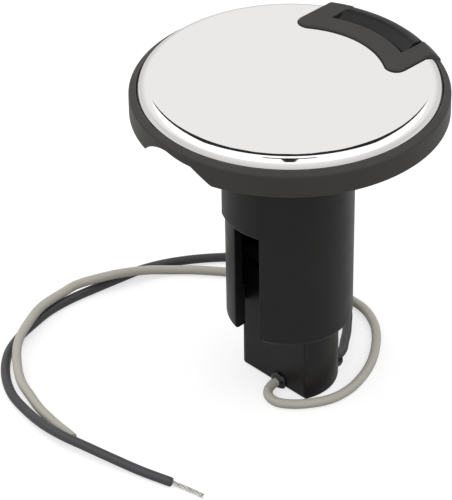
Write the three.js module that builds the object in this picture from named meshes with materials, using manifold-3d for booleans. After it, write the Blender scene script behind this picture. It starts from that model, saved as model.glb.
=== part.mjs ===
// Round deck socket for a plug-in pole light, with a hinged lid and two loose leads.
// Millimetres, +Z up. The origin is the centre of the deck seat, which is the underside of
// the gasket. The hinge is at +Y and the finger notch in the lid's skirt is at -Y.
import * as THREE from 'three';
import { mergeVertices } from 'three/addons/utils/BufferGeometryUtils.js';
import Module from 'manifold-3d';

const wasm = await Module();
wasm.setup();

// ---- driving dimensions ----
const GAP = 0.3; // left between pieces that touch
const FACETS = 72; // sides of the large round pieces
const FINE_FACETS = 20; // sides of the small round pieces

const LID_R = 41.5; // outside of the lid's skirt
const SKIRT_INNER_R = 38.4;
const SKIRT_BOTTOM = 0.2; // just clear of the deck
const LIP_TOP = 6.6; // flat lip round the face plate
const LIP_INNER_R = 39.5;
const WEB_TOP = 8.5;
const WEB_BOTTOM = 4.2;
const RECESS_R = 33;
const RECESS_TOP = 6;

const PLATE_TOP = 9.7;
const PLATE_THICK = 0.9;
const PLATE_R = 39.2;
const PLATE_FLAT_R = 36.9; // where the flat face starts to roll down
const PLATE_EDGE_BOTTOM = 5.9;

const YOKE_HALF = 18.6; // half width of the hinge yoke
const YOKE_TOP = 10.3;
const YOKE_INNER_R = 24.3; // inner edge, concentric with the lid
const YOKE_CORNER_R = 2.6;
const YOKE_REAR_R = 38.6; // where the top starts to slope down to the skirt
const YOKE_FOOT_R = 41.7;
const SLOT_HALF = 12.7; // gap between the yoke's arms
const SLOT_INNER_R = 30.9;

const PIN_Y = 35.2;
const PIN_Z = 7;
const PIN_R = 1;
const PIN_HALF = 17.2;
const REAR_SWING_R = 6.4; // lid behind the pin stays within this of the pin's axis
const SWING_ROOM_R = REAR_SWING_R + 1.2; // what the flange leaves free round the pin's axis

const KNUCKLE_HALF = SLOT_HALF - GAP;
const KNUCKLE_FRONT_R = 32.3;
const KNUCKLE_TOP = 10.8;

const GASKET_THICK = 0.8;
const FLANGE_R = 35.5;
const FLANGE_TOP = 3.2;
const RIM_R = 17.5; // raised rim round the mouth
const RIM_TOP = 4;
const BARREL_R = 17.3;
const BARREL_FOOT_R = 17.05; // moulding draft
const BARREL_BOTTOM = -64.2;
const BORE_R = 14.2;
const LEDGE_R = 11.5;
const LEDGE_TOP = -49;
const LEDGE_THICK = 2;
const SCREW_CIRCLE_R = 27;
const SCREW_HOLE_R = 2.3;

const PAD_R = 18.5; // raised pad over the side slot
const PAD_BOTTOM = -30.3;
const SIDE_SLOT_HALF = 4.5;
const SIDE_SLOT_X = 0.5; // the slot's centre

const HOUSING_R = 13.3;
const HOUSING_FLAT_Y = -5.9;
const HOUSING_BOTTOM = -85.5;
const HOUSING_WALL = 1.8;
const HOUSING_FLOOR = 1.1;

const CARRIER_R = 13.9;
const CARRIER_TOP = -44.5;
const CONTACT_X = 6.4;
const CONTACT_Y = 2.5;
const SLEEVE_R = 2.3;
const SLEEVE_BORE_R = 1.3;
const FIXING_YS = [9.4, -2.2]; // the two screws that clamp the carrier and housing to the ledge
const FIXING_R = 1.3;
const BOSS_R = 2.5;

const LEAD_R = 1.3;
const LEAD_SIDES = 8;
const STRAND_R = 0.7;
const EXIT_Z = -84; // leads leave through notches in the housing's foot
const EXIT_HOLE_R = LEAD_R + 0.8;
const EXIT_DEPTH = 10; // how far the tool for an exit reaches, half of it inwards
const GREY_EXIT_X = 2;
const BLACK_EXIT_X = 5.4;
const BLACK_EXIT_Y = Math.sqrt(HOUSING_R ** 2 - BLACK_EXIT_X ** 2);

// Leads: centre lines from under the terminals, out of the housing and over the surface that
// the housing stands on.
const GREY_ROUTE = [
  [-6.4, 2.5, -63], [-6, 2.9, -69], [-4.8, 3.2, -74.4], [-2.8, 2.8, -79], [-0.4, 1.4, -81.8],
  [1.3, -1.6, -83.3], [2, -5.9, -84], [1.9, -8.4, -84.1], [2.8, -11, -84.2], [5, -12.8, -84.2],
  [8.2, -13, -84.2], [12, -10.5, -84.2], [15.5, -6, -84.2], [17.7, -0.9, -84.2],
  [18, 5.3, -84.2], [16.6, 11.5, -84.2], [14.1, 17.4, -84.2], [10.7, 22.7, -84.2],
  [6.1, 28, -84.2], [1.6, 31.6, -84.2], [-4.8, 34.4, -84.2], [-12.5, 34.7, -84.2],
  [-21.6, 33.2, -84.2], [-30.1, 29.4, -84.2], [-38.1, 24.5, -84.2], [-45.2, 19.2, -84.2],
  [-51.5, 14, -84.1], [-57, 8.4, -84], [-60.2, 2.6, -82.8], [-62.1, -4.2, -81.2],
  [-64.8, -10.8, -80.9], [-68.2, -17.4, -81.9], [-68.2, -22.2, -82], [-66.3, -32.2, -81],
  [-62.7, -40.4, -80.8], [-58.6, -47.3, -81], [-53.7, -52.2, -81.7], [-46.3, -57.1, -82.9],
  [-40.8, -58.6, -84.1], [-34.9, -60.4, -84.2], [-30.4, -61.2, -84.2], [-26.2, -61.8, -84.2],
  [-22.2, -62.1, -84.2], [-19.1, -62.4, -84.2],
];
const BLACK_ROUTE = [
  [6.4, 2.5, -63], [6.4, 2.3, -69.5], [6.4, 2.2, -75.4], [6.4, 3, -79.6], [6, 5.6, -82.4],
  [5.5, 8.8, -83.7], [5.4, 12, -84], [5.1, 14.4, -84.1], [4.1, 16.8, -84.2], [2, 19.6, -84.2],
  [-0.6, 23.1, -84.2], [-2.9, 25.7, -84], [-5.8, 28.9, -83.5], [-11.2, 32.9, -81.6],
  [-17.2, 35.6, -81.2], [-24.6, 37, -83], [-32, 36, -84.1], [-39.6, 33, -84.2],
  [-46.2, 28.5, -84.2], [-52, 22.5, -84.2], [-56.9, 16, -84.2], [-60.6, 9.5, -84.2],
  [-63.1, 2.8, -84.2], [-64.4, -4.8, -84.2], [-65.6, -12.8, -84.2], [-66.6, -20.8, -84.2],
  [-66.6, -28.7, -84.2], [-65.2, -36.2, -84.2], [-63.2, -43.3, -84.2], [-59.6, -50.4, -84.2],
  [-53, -57, -84.2], [-45.1, -61.6, -84.1], [-37.3, -63.6, -84], [-28.7, -65, -83.3],
  [-20.5, -65.1, -82.6], [-11.9, -63.6, -82.6], [-4.1, -61.5, -83.3], [3.9, -59.2, -84],
  [12.9, -56.5, -84.2],
];
const GREY_STRANDS = [[-18.6, -62.3, -84.5], [-15.9, -61.4, -84.8], [-12.5, -60.9, -84.8]];
const BLACK_STRANDS = [[13.3, -56.1, -84.5], [17.9, -54.8, -84.7], [22.8, -53.9, -84.8]];

// ---- materials ----
const paint = (color, roughness, metalness = 0) =>
  new THREE.MeshStandardMaterial({ color, roughness, metalness });
const MATERIALS = {
  lid: () => paint(0x3a3836, 0.55),
  base: () => paint(0x2b2a2a, 0.45),
  steel: () => paint(0xe2e2e2, 0.12, 1),
  brass: () => paint(0xb8934a, 0.3, 1),
  tin: () => paint(0xc9c9c6, 0.3, 1),
  rubber: () => paint(0x1c1c1c, 0.85),
  sealant: () => paint(0x202020, 0.2),
  foam: () => paint(0xd8d4c8, 0.9),
  grey: () => paint(0xb4b1a4, 0.5),
  black: () => paint(0x3f4042, 0.5),
};

// ---- solids ----
const radians = THREE.MathUtils.degToRad;

/** A closed three.js geometry as a solid that can be cut and joined. */
function solidOf(geometry) {
  const bare = geometry.index ? geometry.toNonIndexed() : geometry.clone();
  bare.deleteAttribute('normal');
  bare.deleteAttribute('uv');
  const merged = mergeVertices(bare, 1e-4);
  const index = merged.index.array;
  const kept = [];
  for (let i = 0; i < index.length; i += 3) {
    const [a, b, c] = [index[i], index[i + 1], index[i + 2]];
    if (a !== b && b !== c && c !== a) kept.push(a, b, c);
  }
  return new wasm.Manifold(new wasm.Mesh({
    numProp: 3,
    vertProperties: new Float32Array(merged.attributes.position.array),
    triVerts: new Uint32Array(kept),
  }));
}

const join = (first, ...others) => others.reduce((all, one) => all.add(one), first);
const cut = (first, ...others) => others.reduce((all, one) => all.subtract(one), first);
const meet = (first, ...others) => others.reduce((all, one) => all.intersect(one), first);

/** A profile of [radius, z] points, counter-clockwise, turned about the Z axis. */
function turned(profile, sides = FACETS) {
  const outline = profile.map(([r, z]) => new THREE.Vector2(r, z));
  if (profile[0][0] > 0) outline.push(outline[0].clone());
  return solidOf(new THREE.LatheGeometry(outline, sides).rotateX(Math.PI / 2));
}

const disc = (radius, bottom, top, sides = FACETS) =>
  turned([[0, bottom], [radius, bottom], [radius, top], [0, top]], sides);

const ring = (inner, outer, bottom, top, sides = FACETS) =>
  turned([[inner, bottom], [outer, bottom], [outer, top], [inner, top]], sides);

function box([x0, x1], [y0, y1], [z0, z1]) {
  const shape = new THREE.BoxGeometry(x1 - x0, y1 - y0, z1 - z0);
  return solidOf(shape.translate((x0 + x1) / 2, (y0 + y1) / 2, (z0 + z1) / 2));
}

function extruded(shape, bottom, top, curveSegments = 12) {
  const options = { depth: top - bottom, bevelEnabled: false, curveSegments };
  return solidOf(new THREE.ExtrudeGeometry(shape, options).translate(0, 0, bottom));
}

/** A round bar between two points on a line along X or Y. */
function bar(axis, [x, y, z], length, radius, sides = FINE_FACETS) {
  const shape = new THREE.CylinderGeometry(radius, radius, length, sides);
  if (axis === 'x') shape.rotateZ(Math.PI / 2);
  return solidOf(shape.translate(x, y, z));
}

const backHalf = (halfWidth) => box([-halfWidth, halfWidth], [0, 60], [-5, 20]);

function meshOf(name, solid, material) {
  const { vertProperties, triVerts, numProp } = solid.getMesh();
  const positions = new Float32Array((vertProperties.length / numProp) * 3);
  for (let v = 0; v < positions.length / 3; v++) {
    for (let k = 0; k < 3; k++) positions[v * 3 + k] = vertProperties[v * numProp + k];
  }
  const geometry = new THREE.BufferGeometry();
  geometry.setAttribute('position', new THREE.BufferAttribute(positions, 3));
  geometry.setIndex(Array.from(triVerts));
  geometry.computeVertexNormals();
  const mesh = new THREE.Mesh(geometry, material());
  mesh.name = name;
  return mesh;
}

// ---- lid ----

/** The yoke seen from above: straight sides, a concentric inner edge and round corners. */
function yokePlan(grow = 0) {
  const half = YOKE_HALF + grow;
  const inner = YOKE_INNER_R - grow;
  const corner = YOKE_CORNER_R + grow;
  const cx = YOKE_HALF - YOKE_CORNER_R;
  const cy = Math.sqrt((YOKE_INNER_R + YOKE_CORNER_R) ** 2 - cx ** 2);
  const lean = Math.atan2(cy, cx);
  const plan = new THREE.Shape();
  plan.moveTo(half, 50);
  plan.lineTo(half, cy);
  plan.absarc(cx, cy, corner, 0, lean - Math.PI, true);
  plan.absarc(0, 0, inner, lean, Math.PI - lean, false);
  plan.absarc(-cx, cy, corner, -lean, -Math.PI, true);
  plan.lineTo(-half, 50);
  return plan;
}

function lidShell() {
  const cap = turned([
    [0, RECESS_TOP], [RECESS_R, RECESS_TOP], [RECESS_R, WEB_BOTTOM], [SKIRT_INNER_R, WEB_BOTTOM],
    [SKIRT_INNER_R, SKIRT_BOTTOM], [LID_R, SKIRT_BOTTOM], [LID_R, LIP_TOP - 0.5],
    [LID_R - 0.5, LIP_TOP], [LIP_INNER_R, LIP_TOP], [LIP_INNER_R, 5.6], [38, 5.6],
    [37.9, 6.9], [37.2, 8], [36, WEB_TOP], [0, WEB_TOP],
  ]);
  const yokeRing = turned([
    [YOKE_INNER_R, 7], [36, 7], [38, 4.6], [YOKE_FOOT_R, 4.6], [YOKE_FOOT_R, LIP_TOP - 0.1],
    [YOKE_REAR_R, YOKE_TOP - 0.3], [YOKE_REAR_R - 0.4, YOKE_TOP],
    [YOKE_INNER_R + 0.5, YOKE_TOP], [YOKE_INNER_R, YOKE_TOP - 0.5],
  ]);
  const yoke = meet(yokeRing, extruded(yokePlan(), 0, 20));
  const slot = meet(ring(SLOT_INNER_R, 60, -5, 20), backHalf(SLOT_HALF));
  const behindPin = cut(
    box([-30, 30], [PIN_Y, 50], [-5, PIN_Z]),
    bar('x', [0, PIN_Y, PIN_Z], 62, REAR_SWING_R, 48),
  );
  const pinHole = bar('x', [-2, PIN_Y, PIN_Z], 2 * PIN_HALF + 4.6, PIN_R + GAP);
  return cut(join(cap, yoke), slot, behindPin, pinHole, fingerNotch());
}

/** The arched notch in the skirt's lower edge, cut straight in towards the axis. */
function fingerNotch() {
  const arch = new THREE.Shape();
  arch.moveTo(-12.3, SKIRT_BOTTOM - 1);
  arch.lineTo(-12.3, SKIRT_BOTTOM);
  arch.quadraticCurveTo(-7.2, 5, -2, 4.7);
  arch.bezierCurveTo(0, 4.4, 1, 4.05, 6, 3.85);
  arch.lineTo(11.9, SKIRT_BOTTOM);
  arch.lineTo(11.9, SKIRT_BOTTOM - 1);
  const options = { depth: 12, bevelEnabled: false, curveSegments: 8 };
  const shape = new THREE.ExtrudeGeometry(arch, options).rotateX(Math.PI / 2);
  return solidOf(shape.translate(0, -34, 0));
}

function facePlate() {
  const rise = PLATE_TOP - 6.8;
  const roll = (rising, inset) => [0, 1, 2, 3, 4, 5].map((k) => {
    const angle = radians(rising ? 18 * k : 90 - 18 * k);
    const run = PLATE_R - PLATE_FLAT_R;
    return [
      PLATE_FLAT_R + (run - inset) * Math.cos(angle),
      6.8 + (rise - inset) * Math.sin(angle),
    ];
  });
  const plate = turned([
    [0, PLATE_TOP - PLATE_THICK], ...roll(false, PLATE_THICK),
    [PLATE_R - PLATE_THICK, PLATE_EDGE_BOTTOM], [PLATE_R, PLATE_EDGE_BOTTOM],
    ...roll(true, 0), [0, PLATE_TOP],
  ]);
  return cut(plate, extruded(yokePlan(GAP), 0, 20));
}

/** Rubber pad that covers the rim, with a plug that is a push fit in the mouth. */
function lidSeal() {
  const padBottom = RIM_TOP + GAP;
  return turned([
    [0, 2.4], [12.9, 2.4], [13.5, 3], [13.5, padBottom], [24, padBottom],
    [24, RECESS_TOP - GAP], [0, RECESS_TOP - GAP],
  ]);
}

// ---- base ----

function onCircle(radius, degrees) {
  const angle = radians(degrees - 90);
  return [radius * Math.cos(angle), radius * Math.sin(angle)];
}

/** Raised pad on the barrel, with sloping sides; degrees count from -Y towards +X. */
function slotPad() {
  const corners = [
    [15, -34], [19.4, -30], [23, -15], [23, 5], [19.2, 17], [15, 27],
  ].map(([r, a]) => new THREE.Vector2(...onCircle(r, a)));
  const band = turned([
    [16.4, PAD_BOTTOM], [PAD_R - 0.7, PAD_BOTTOM], [PAD_R, PAD_BOTTOM + 0.8], [PAD_R, 1.5],
    [16.4, 1.5],
  ]);
  return meet(band, extruded(new THREE.Shape(corners), -40, 5));
}

function hingeBlock() {
  const section = turned([
    [28, GASKET_THICK], [LID_R - 0.3, GASKET_THICK], [LID_R, GASKET_THICK + 0.3],
    [LID_R, LIP_TOP - 0.1], [38.8, 9.6], [38, KNUCKLE_TOP - 0.5], [36.8, KNUCKLE_TOP - 0.1],
    [35.6, KNUCKLE_TOP], [34.4, KNUCKLE_TOP - 0.2], [KNUCKLE_FRONT_R + 0.7, 9.7],
    [KNUCKLE_FRONT_R, 9], [KNUCKLE_FRONT_R, FLANGE_TOP], [28, FLANGE_TOP],
  ]);
  return meet(section, backHalf(KNUCKLE_HALF));
}

function screwHole(degrees) {
  const [x, y] = onCircle(SCREW_CIRCLE_R, degrees);
  const hole = turned([
    [0, -2], [SCREW_HOLE_R, -2], [SCREW_HOLE_R, FLANGE_TOP - 2], [SCREW_HOLE_R + 2.2, FLANGE_TOP + 0.2],
    [0, FLANGE_TOP + 0.2],
  ], FINE_FACETS);
  return hole.translate([x, y, 0]);
}

/** Room in the flange, either side of the hinge block, for the lid's rear as it turns. */
function swingRooms() {
  const length = 17;
  return [-1, 1].map((side) =>
    bar('x', [side * (KNUCKLE_HALF + length / 2), PIN_Y, PIN_Z], length, SWING_ROOM_R, 48));
}

function socketBase() {
  const body = turned([
    [BORE_R, BARREL_BOTTOM], [BARREL_FOOT_R - 1.2, BARREL_BOTTOM],
    [BARREL_FOOT_R - 0.3, BARREL_BOTTOM + 0.4], [BARREL_FOOT_R, BARREL_BOTTOM + 1.3], [BARREL_R, GASKET_THICK], [FLANGE_R, GASKET_THICK],
    [FLANGE_R, FLANGE_TOP - 0.5], [FLANGE_R - 0.5, FLANGE_TOP], [RIM_R + 0.6, FLANGE_TOP],
    [RIM_R, RIM_TOP], [BORE_R + 0.5, RIM_TOP], [BORE_R, RIM_TOP - 0.5],
  ]);
  const ledge = cut(
    ring(LEDGE_R, BORE_R + 0.5, LEDGE_TOP - LEDGE_THICK, LEDGE_TOP),
    box([-20, 20], [-20, HOUSING_FLAT_Y], [LEDGE_TOP - 5, LEDGE_TOP + 5]),
  );
  const sideSlot = box(
    [SIDE_SLOT_X - SIDE_SLOT_HALF, SIDE_SLOT_X + SIDE_SLOT_HALF], [-25, -8],
    [BARREL_BOTTOM - 5, PAD_BOTTOM],
  );
  const pinHole = bar('x', [0, PIN_Y, PIN_Z], 60, PIN_R + GAP);
  const holes = [45, 135, 225, 315].map(screwHole);
  return cut(
    join(body, slotPad(), hingeBlock(), ledge), sideSlot, pinHole, ...holes, ...swingRooms(),
  );
}

function deckGasket() {
  const top = GASKET_THICK - GAP;
  const sheet = ring(19.2, FLANGE_R - 0.3, 0, top);
  const tongue = meet(ring(30, LID_R - 0.5, 0, top), backHalf(KNUCKLE_HALF - 0.2));
  const holes = [45, 135, 225, 315].map((degrees) => {
    const [x, y] = onCircle(SCREW_CIRCLE_R, degrees);
    return disc(SCREW_HOLE_R, -2, 2, FINE_FACETS).translate([x, y, 0]);
  });
  return cut(join(sheet, tongue), ...holes);
}

// ---- contacts and housing ----

const frontOfFlat = box([-20, 20], [HOUSING_FLAT_Y, 20], [-100, 0]);

function contactCarrier() {
  const block = meet(disc(CARRIER_R, LEDGE_TOP + GAP, CARRIER_TOP), frontOfFlat);
  const sleeveHoles = [-1, 1].map((side) =>
    disc(SLEEVE_R + GAP, -60, -40, FINE_FACETS).translate([side * CONTACT_X, CONTACT_Y, 0]));
  const screwHoles = FIXING_YS.map((y) => disc(FIXING_R + GAP, -60, -40, FINE_FACETS).translate([0, y, 0]));
  return cut(block, ...sleeveHoles, ...screwHoles);
}

/** Brass sleeve that takes one of the pole's pins, with a collar under the carrier. */
function contactSleeve(side) {
  const collarTop = LEDGE_TOP;
  const sleeve = turned([
    [SLEEVE_BORE_R, -56], [SLEEVE_R, -56], [SLEEVE_R, collarTop - 1.2],
    [SLEEVE_R + 0.9, collarTop - 1.2], [SLEEVE_R + 0.9, collarTop], [SLEEVE_R, collarTop],
    [SLEEVE_R, CARRIER_TOP - 0.4], [SLEEVE_BORE_R, CARRIER_TOP - 0.4],
  ], FINE_FACETS);
  return sleeve.translate([side * CONTACT_X, CONTACT_Y, 0]);
}

/** Crimp barrel between a sleeve and its lead. */
function crimp(side) {
  const barrel = turned([
    [0, -62.6], [1.2, -62.6], [1.9, -61.6], [1.9, -58], [2.3, -57.4], [2.3, -56.3], [0, -56.3],
  ], FINE_FACETS);
  return barrel.translate([side * CONTACT_X, CONTACT_Y, 0]);
}

function contactHousing() {
  const top = LEDGE_TOP - LEDGE_THICK - GAP;
  const outer = meet(turned([
    [0, HOUSING_BOTTOM], [HOUSING_R - 0.8, HOUSING_BOTTOM], [HOUSING_R, HOUSING_BOTTOM + 0.8],
    [HOUSING_R, top], [0, top],
  ]), frontOfFlat);
  const cavity = meet(
    disc(HOUSING_R - HOUSING_WALL, HOUSING_BOTTOM + HOUSING_FLOOR, top + 5),
    box([-20, 20], [HOUSING_FLAT_Y + HOUSING_WALL, 20], [-100, 0]),
  );
  const bosses = FIXING_YS.map((y) => disc(BOSS_R, -66, top, FINE_FACETS).translate([0, y, 0]));
  const pilots = FIXING_YS.map((y) => disc(FIXING_R + GAP, -64, top + 5, FINE_FACETS).translate([0, y, 0]));
  const greyHole = bar('y', [GREY_EXIT_X, HOUSING_FLAT_Y, EXIT_Z], EXIT_DEPTH, EXIT_HOLE_R);
  const blackHole = bar('y', [BLACK_EXIT_X, BLACK_EXIT_Y, EXIT_Z], EXIT_DEPTH, EXIT_HOLE_R);
  return cut(join(cut(outer, cavity), ...bosses), ...pilots, greyHole, blackHole);
}

/** Pan-head screw through the carrier into the housing's boss. */
function fixingScrew(y) {
  const seat = CARRIER_TOP + GAP;
  const screw = turned([
    [0, -62], [FIXING_R * 0.4, -62], [FIXING_R, -60.8], [FIXING_R, seat], [2.6, seat],
    [2.6, seat + 1], [1.8, seat + 1.6], [0, seat + 1.6],
  ], FINE_FACETS);
  return screw.translate([0, y, 0]);
}

/** Bead of sealant round a lead where it leaves the housing; turned about Y, cut to the wall. */
function sealantBead(x, wallY, outward) {
  const profile = [
    [EXIT_HOLE_R, -3], [2.8, -3], [2.8, 0.4], [2.6, 0.9], [2.2, 1.3], [EXIT_HOLE_R, 1.4],
    [EXIT_HOLE_R, -3],
  ];
  const bead = new THREE.LatheGeometry(profile.map(([r, h]) => new THREE.Vector2(r, h)), FINE_FACETS);
  if (outward < 0) bead.rotateZ(Math.PI);
  const outsideR = HOUSING_R + GAP;
  const keepOut = meet(
    disc(outsideR, -100, 0), box([-20, 20], [HOUSING_FLAT_Y - GAP, 20], [-100, 0]),
  );
  const below = box([-30, 30], [-30, 30], [-100, HOUSING_BOTTOM]);
  return cut(solidOf(bead.translate(x, wallY, EXIT_Z)), keepOut, below);
}

// ---- leads ----

/** A round section swept along a smooth curve through the points. */
function swept(points, radius, steps) {
  const curve = new THREE.CatmullRomCurve3(points.map((p) => new THREE.Vector3(...p)));
  const section = new THREE.Shape();
  for (let k = 0; k < LEAD_SIDES; k++) {
    const angle = (2 * Math.PI * k) / LEAD_SIDES;
    const [x, y] = [radius * Math.cos(angle), radius * Math.sin(angle)];
    if (k === 0) section.moveTo(x, y);
    else section.lineTo(x, y);
  }
  return solidOf(new THREE.ExtrudeGeometry(section, { steps, extrudePath: curve, bevelEnabled: false }));
}

// ---- assembly ----
const group = new THREE.Group();
const place = (name, solid, material) => group.add(meshOf(name, solid, material));

place('lid_shell', lidShell(), MATERIALS.lid);
place('lid_face_plate', facePlate(), MATERIALS.steel);
place('lid_seal', lidSeal(), MATERIALS.rubber);
place('hinge_pin', bar('x', [0, PIN_Y, PIN_Z], 2 * PIN_HALF, PIN_R), MATERIALS.steel);

place('socket_base', socketBase(), MATERIALS.base);
place('deck_gasket', deckGasket(), MATERIALS.foam);
place('contact_carrier', contactCarrier(), MATERIALS.base);
place('contact_housing', contactHousing(), MATERIALS.base);
place('contact_sleeve_grey', contactSleeve(-1), MATERIALS.brass);
place('contact_sleeve_black', contactSleeve(1), MATERIALS.brass);
place('crimp_grey', crimp(-1), MATERIALS.tin);
place('crimp_black', crimp(1), MATERIALS.tin);
place('carrier_screw_rear', fixingScrew(FIXING_YS[0]), MATERIALS.steel);
place('carrier_screw_front', fixingScrew(FIXING_YS[1]), MATERIALS.steel);
place('sealant_bead_grey', sealantBead(GREY_EXIT_X, HOUSING_FLAT_Y, -1), MATERIALS.sealant);
place('sealant_bead_black', sealantBead(BLACK_EXIT_X, BLACK_EXIT_Y, 1), MATERIALS.sealant);

place('grey_lead', swept(GREY_ROUTE, LEAD_R, 42), MATERIALS.grey);
place('black_lead', swept(BLACK_ROUTE, LEAD_R, 40), MATERIALS.black);
place('grey_lead_strands', swept(GREY_STRANDS, STRAND_R, 2), MATERIALS.tin);
place('black_lead_strands', swept(BLACK_STRANDS, STRAND_R, 3), MATERIALS.tin);

export default group;
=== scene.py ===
"""Deck socket for a plug-in pole light, dressed for its portrait.

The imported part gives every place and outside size. This script builds the fine surfaces round it:
the lid with its polished steel face, the hinge, the socket moulding with its barrel, the contact
block and its housing, and the two leads with their bared ends. Shapes are worked out in
millimetres in the part's own frame, and each finished mesh is then brought to metres.
"""

import logging
import math
import random
from dataclasses import dataclass, field
from enum import Enum

import bmesh
import bpy
from mathutils import Matrix, Vector

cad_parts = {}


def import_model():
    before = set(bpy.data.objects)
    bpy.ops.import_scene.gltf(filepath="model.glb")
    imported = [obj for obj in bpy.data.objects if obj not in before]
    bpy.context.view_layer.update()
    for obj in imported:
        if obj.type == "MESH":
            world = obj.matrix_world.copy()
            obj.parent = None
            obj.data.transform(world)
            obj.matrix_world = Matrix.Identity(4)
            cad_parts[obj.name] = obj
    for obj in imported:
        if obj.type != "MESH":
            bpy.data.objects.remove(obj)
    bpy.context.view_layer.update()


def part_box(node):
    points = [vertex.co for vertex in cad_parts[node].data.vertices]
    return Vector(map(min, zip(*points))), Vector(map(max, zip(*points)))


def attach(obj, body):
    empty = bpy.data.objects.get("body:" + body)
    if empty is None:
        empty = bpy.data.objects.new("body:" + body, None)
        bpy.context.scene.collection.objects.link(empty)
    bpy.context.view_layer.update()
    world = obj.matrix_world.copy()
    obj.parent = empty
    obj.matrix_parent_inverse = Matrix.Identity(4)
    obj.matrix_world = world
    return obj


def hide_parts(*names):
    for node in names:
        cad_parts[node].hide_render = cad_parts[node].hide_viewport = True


log = logging.getLogger("deck_socket")

MM = 0.001  # one millimetre in metres
SIDES = 240  # sides of a large round piece
FINE_SIDES = 48  # sides of a small one
FAR = 50.0  # a reach past every edge of the part, for cutting tools

Point2 = tuple[float, float]
Point3 = tuple[float, float, float]
Colour = tuple[float, float, float]


# ---------------------------------------------------------------- the frame, in millimetres


@dataclass(frozen=True)
class Extent:
    """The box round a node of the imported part, in millimetres."""

    low: Vector
    high: Vector

    @classmethod
    def of(cls, node: str) -> "Extent":
        """The box of one node.

        Args:
            node: the node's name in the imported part.

        Returns:
            Its box, in millimetres.
        """
        low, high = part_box(node)
        return cls(low / MM, high / MM)

    @property
    def middle(self) -> Vector:
        """The box's middle."""
        return (self.low + self.high) / 2

    @property
    def radius(self) -> float:
        """Half the box's width along X."""
        return (self.high.x - self.low.x) / 2


class Body(Enum):
    """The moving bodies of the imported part."""

    BASE = "base"
    LID = "lid"


# ---------------------------------------------------------------- outlines


def arc(centre: Point2, radius: float, start: float, end: float, steps: int = 12) -> list[Point2]:
    """Points along an arc.

    Args:
        centre: the arc's centre.
        radius: its radius.
        start: the angle of its first point, in degrees.
        end: the angle of its last point, in degrees.
        steps: how many stretches it is cut into.

    Returns:
        The points, both ends among them.
    """
    turn = [math.radians(start + (end - start) * k / steps) for k in range(steps + 1)]
    return [(centre[0] + radius * math.cos(a), centre[1] + radius * math.sin(a)) for a in turn]


def eased(points: list[tuple[float, ...]], steps: int = 5) -> list[Point2]:
    """An open outline with some of its corners rounded.

    Args:
        points: (x, y) for a sharp corner, or (x, y, radius) for a rounded one.
        steps: how many stretches each rounded corner is cut into.

    Returns:
        The outline's points.
    """
    done: list[Point2] = []
    for k, point in enumerate(points):
        here = Vector(point[:2])
        if len(point) < 3 or k in (0, len(points) - 1):
            done.append((here.x, here.y))
            continue
        back = (Vector(points[k - 1][:2]) - here).normalized()
        ahead = (Vector(points[k + 1][:2]) - here).normalized()
        half = back.angle(ahead) / 2
        run = point[2] / math.tan(half)
        centre = here + (back + ahead).normalized() * (point[2] / math.sin(half))
        first, last = here + back * run - centre, here + ahead * run - centre
        sweep = first.angle_signed(last)
        for step in range(steps + 1):
            spun = Matrix.Rotation(-sweep * step / steps, 2) @ first
            done.append((centre.x + spun.x, centre.y + spun.y))
    return done


# ---------------------------------------------------------------- solids


class Action(Enum):
    """What one solid does to another."""

    ADD = "UNION"
    REMOVE = "DIFFERENCE"
    KEEP = "INTERSECT"


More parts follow.
